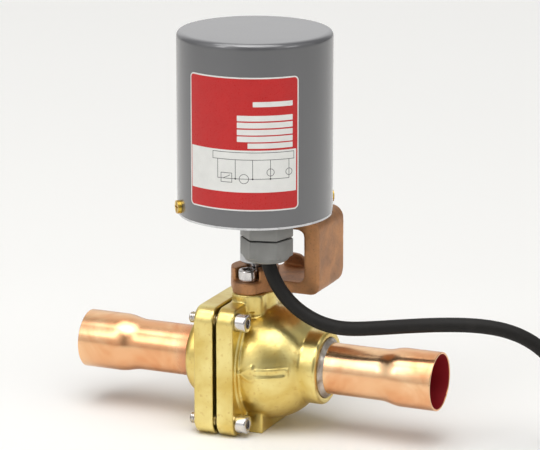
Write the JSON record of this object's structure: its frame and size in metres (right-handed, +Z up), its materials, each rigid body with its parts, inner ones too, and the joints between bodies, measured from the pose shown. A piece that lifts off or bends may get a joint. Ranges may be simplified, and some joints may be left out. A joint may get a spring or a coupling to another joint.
{
  "type": "motorized ball valve",
  "caption": "Refrigeration ball valve with swaged copper tube ends, a bolted flanged body, a C-bracket and a round electric actuator with a cable.",
  "frame": {"origin": "on the surface the flanges stand on, under the valve stem's axis", "axes": "+X along the pipe from the end cap towards the hub, +Z up the stem, +Y to the back of the valve"},
  "size_m": [0.4778, 0.13, 0.2813],
  "materials": {
    "copper": "satin",
    "braze": "satin",
    "brass_casting": "satin cast",
    "bronze_casting": "cast",
    "gasket": "matte",
    "steel_screw": "zinc plated",
    "zinc_screw": "yellow zinc plated",
    "ptfe": "smooth",
    "plated_steel": "plated",
    "cover_paint": "satin paint",
    "label": "gloss print",
    "gland_nylon": "moulded",
    "black_rubber": "matte",
    "cable_jacket": "smooth jacket",
    "core_insulation": "smooth",
    "motor_can": "satin",
    "capacitor_can": "satin",
    "white_plastic": "moulded",
    "black_plastic": "moulded",
    "bearing_bronze": "sintered",
    "ball_plating": "polished",
    "stem_steel": "turned",
    "gear_steel": "hobbed"
  },
  "bodies": {
    "housing": {"left_tube": "copper", "right_tube": "copper", "left_braze": "braze", "right_braze": "braze", "valve_body": "brass_casting", "end_cap": "brass_casting", "body_gasket": "gasket", "flange_bolts": "steel_screw", "bracket_screws": "steel_screw", "left_seat": "ptfe", "right_seat": "ptfe", "stem_packing": "ptfe", "packing_gland": "brass_casting", "bracket": "bronze_casting", "base_plate": "plated_steel", "motor_cover": "cover_paint", "cover_screws": "zinc_screw", "rating_label": "label", "plate_screws": "steel_screw", "gland_body": "gland_nylon", "gland_washer": "steel_screw", "gland_seal": "black_rubber", "gland_cap": "gland_nylon", "gland_locknut": "gland_nylon", "lower_shaft_bush": "bearing_bronze", "upper_shaft_bush": "bearing_bronze", "motor_posts": "steel_screw", "motor_plate": "plated_steel", "gear_motor": "motor_can", "motor_screws": "steel_screw", "run_capacitor": "capacitor_can", "terminal_block": "white_plastic", "open_switch": "black_plastic", "close_switch": "black_plastic", "switch_posts": "bearing_bronze", "cable": "cable_jacket", "cable_coil": "cable_jacket", "cable_cores": "core_insulation"},
    "drive_train": {"valve_ball": "ball_plating", "stem": "stem_steel", "stem_coupling": "stem_steel", "coupling_set_pins": "stem_steel", "output_shaft": "stem_steel", "output_gear": "gear_steel", "open_cam": "white_plastic", "close_cam": "white_plastic"},
    "pinion": {"motor_pinion": "gear_steel"},
    "open_switch_lever": {"open_lever": "stem_steel"},
    "close_switch_lever": {"close_lever": "stem_steel"}
  },
  "joints": [
    {"name": "valve_turn", "type": "hinge", "parent": "housing", "child": "drive_train", "pos_m": [0, 0, 0.046], "axis": [0, 0, 1], "range_deg": [0, 90]},
    {"name": "pinion_spin", "type": "hinge", "parent": "housing", "child": "pinion", "pos_m": [-0.034, 0, 0.19], "axis": [0, 0, 1], "range_deg": [-295, 5]},
    {"name": "open_lever_press", "type": "hinge", "parent": "housing", "child": "open_switch_lever", "pos_m": [-0.012, 0.0174, 0.167], "axis": [0, 0, 1], "range_deg": [-7.6, 0.1]},
    {"name": "close_lever_press", "type": "hinge", "parent": "housing", "child": "close_switch_lever", "pos_m": [-0.012, 0.0174, 0.178], "axis": [0, 0, 1], "range_deg": [-0.1, 7.6]}
  ],
  "couplings": [
    {"joint": "pinion_spin", "follows": "valve_turn", "ratio": -3.25},
    {"joint": "open_lever_press", "follows": "valve_turn", "ratio": -0.083333},
    {"joint": "close_lever_press", "follows": "valve_turn", "ratio": 0.083333}
  ]
}
